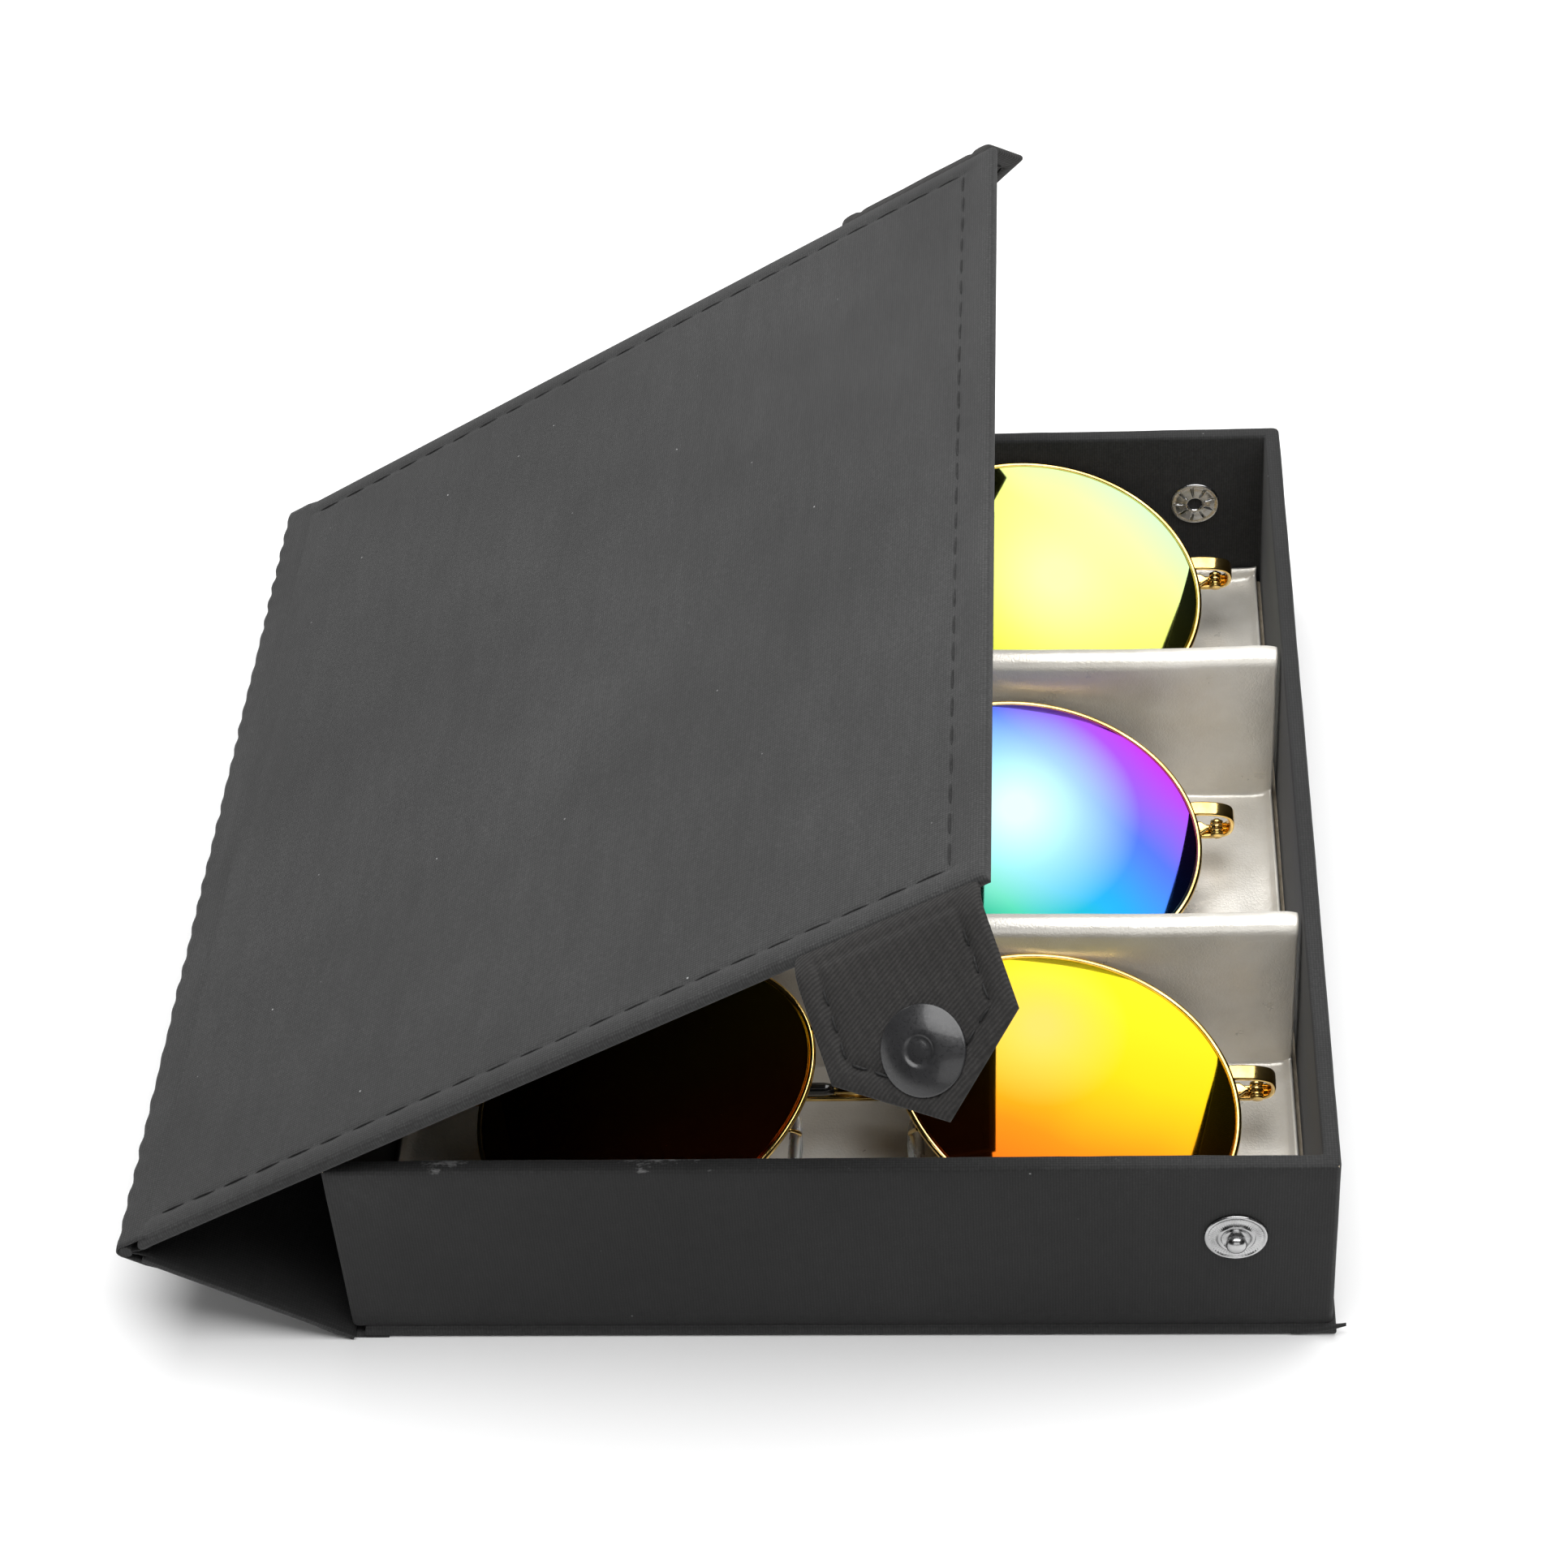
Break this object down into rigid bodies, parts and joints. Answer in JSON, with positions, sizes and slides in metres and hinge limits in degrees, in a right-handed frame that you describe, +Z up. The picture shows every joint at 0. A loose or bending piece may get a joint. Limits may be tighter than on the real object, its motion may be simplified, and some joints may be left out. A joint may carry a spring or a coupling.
{
  "type": "folding glasses case with three pairs of glasses",
  "caption": "Cloth-covered folding case with a leaning lid, snap tabs and a divided lined tray, holding aviator glasses with mirrored lenses.",
  "frame": {"origin": "centre of the tray's underside, on the table", "axes": "+Z up, +X towards the side with the snaps, -Y towards the front"},
  "size_m": [0.2154, 0.2658, 0.1135],
  "materials": {
    "card": "matt grey-brown board",
    "black_cloth": "fine black book cloth, matt",
    "grey_cloth": "charcoal book cloth, matt, with lint",
    "silver_liner": "satin silver-grey leatherette",
    "snap_steel": "bright nickel plate",
    "cap_black": "glossy black enamel",
    "gold_wire": "polished gold plate",
    "tip_black": "glossy black acetate",
    "pad_clear": "clear frosted silicone",
    "front_lens": "orange mirror coating on a dark lens",
    "front_lens_dark": "orange mirror coating on a dark lens",
    "middle_lens": "blue mirror coating on a dark lens",
    "back_lens": "lime mirror coating on a dark lens"
  },
  "bodies": {
    "case": {"base_board": "card", "base_cover": "black_cloth", "tray_floor": "card", "tray_wrap": "black_cloth", "wall_front": "card", "wall_back": "card", "wall_left": "card", "wall_right": "card", "floor_liner": "silver_liner", "divider_front": "silver_liner", "divider_rear": "silver_liner", "divider_front_core": "card", "divider_rear_core": "card", "stud_front": "snap_steel", "stud_rear": "snap_steel", "eyelet_front": "snap_steel", "eyelet_rear": "snap_steel"},
    "spine": {"spine_board": "card", "spine_cover": "grey_cloth"},
    "lid_hinge": {"hinge_roll": "grey_cloth"},
    "lid": {"lid_board": "card", "lid_cover": "grey_cloth", "lid_lining": "black_cloth", "front_tab_root": "black_cloth", "rear_tab_root": "black_cloth"},
    "front_tab": {"front_tab": "black_cloth", "front_cap": "cap_black", "front_socket": "snap_steel"},
    "rear_tab": {"rear_tab": "black_cloth", "rear_cap": "cap_black", "rear_socket": "snap_steel"},
    "front_glasses": {"front_frame": "gold_wire", "front_lens_left": "front_lens_dark", "front_lens_right": "front_lens", "front_pads": "pad_clear", "front_temple_left": "gold_wire", "front_temple_right": "gold_wire", "front_tip_left": "tip_black", "front_tip_right": "tip_black", "front_screws": "gold_wire"},
    "middle_glasses": {"middle_frame": "gold_wire", "middle_lens_left": "middle_lens", "middle_lens_right": "middle_lens", "middle_pads": "pad_clear", "middle_temple_left": "gold_wire", "middle_temple_right": "gold_wire", "middle_tip_left": "tip_black", "middle_tip_right": "tip_black", "middle_screws": "gold_wire"},
    "back_glasses": {"back_frame": "gold_wire", "back_lens_left": "back_lens", "back_lens_right": "back_lens", "back_pads": "pad_clear", "back_temple_left": "gold_wire", "back_temple_right": "gold_wire", "back_tip_left": "tip_black", "back_tip_right": "tip_black", "back_screws": "gold_wire"}
  },
  "joints": [
    {"name": "spine_fold", "type": "hinge", "parent": "case", "child": "spine", "pos_m": [-0.0884, 0, 0.0024], "axis": [0, -1, 0], "range_deg": [-58.5, 31.5]},
    {"name": "lid_hinge_fold", "type": "hinge", "parent": "spine", "child": "lid_hinge", "pos_m": [-0.1256, 0, 0.02379], "axis": [0, -1, 0], "range_deg": [-16, 29]},
    {"name": "lid_swing", "type": "hinge", "parent": "lid_hinge", "child": "lid", "pos_m": [-0.1256, 0, 0.02379], "axis": [0, -1, 0], "range_deg": [0, 133.5]},
    {"name": "front_tab_fold", "type": "hinge", "parent": "lid", "child": "front_tab", "pos_m": [0.01314, -0.1093, 0.10347], "axis": [-0.8672, 0, -0.498], "range_deg": [-50, 32]},
    {"name": "rear_tab_fold", "type": "hinge", "parent": "lid", "child": "rear_tab", "pos_m": [0.01314, 0.1093, 0.10347], "axis": [0.8672, 0, 0.498], "range_deg": [-45, 37]},
    {"name": "front_lift", "type": "slide", "parent": "case", "child": "front_glasses", "axis": [0, 0, 1], "range_m": [0, 0.012]},
    {"name": "middle_lift", "type": "slide", "parent": "case", "child": "middle_glasses", "axis": [0, 0, 1], "range_m": [0, 0.012]},
    {"name": "back_lift", "type": "slide", "parent": "case", "child": "back_glasses", "axis": [0, 0, 1], "range_m": [0, 0.012]}
  ],
  "couplings": [
    {"joint": "lid_hinge_fold", "follows": "spine_fold", "ratio": -0.48945}
  ]
}
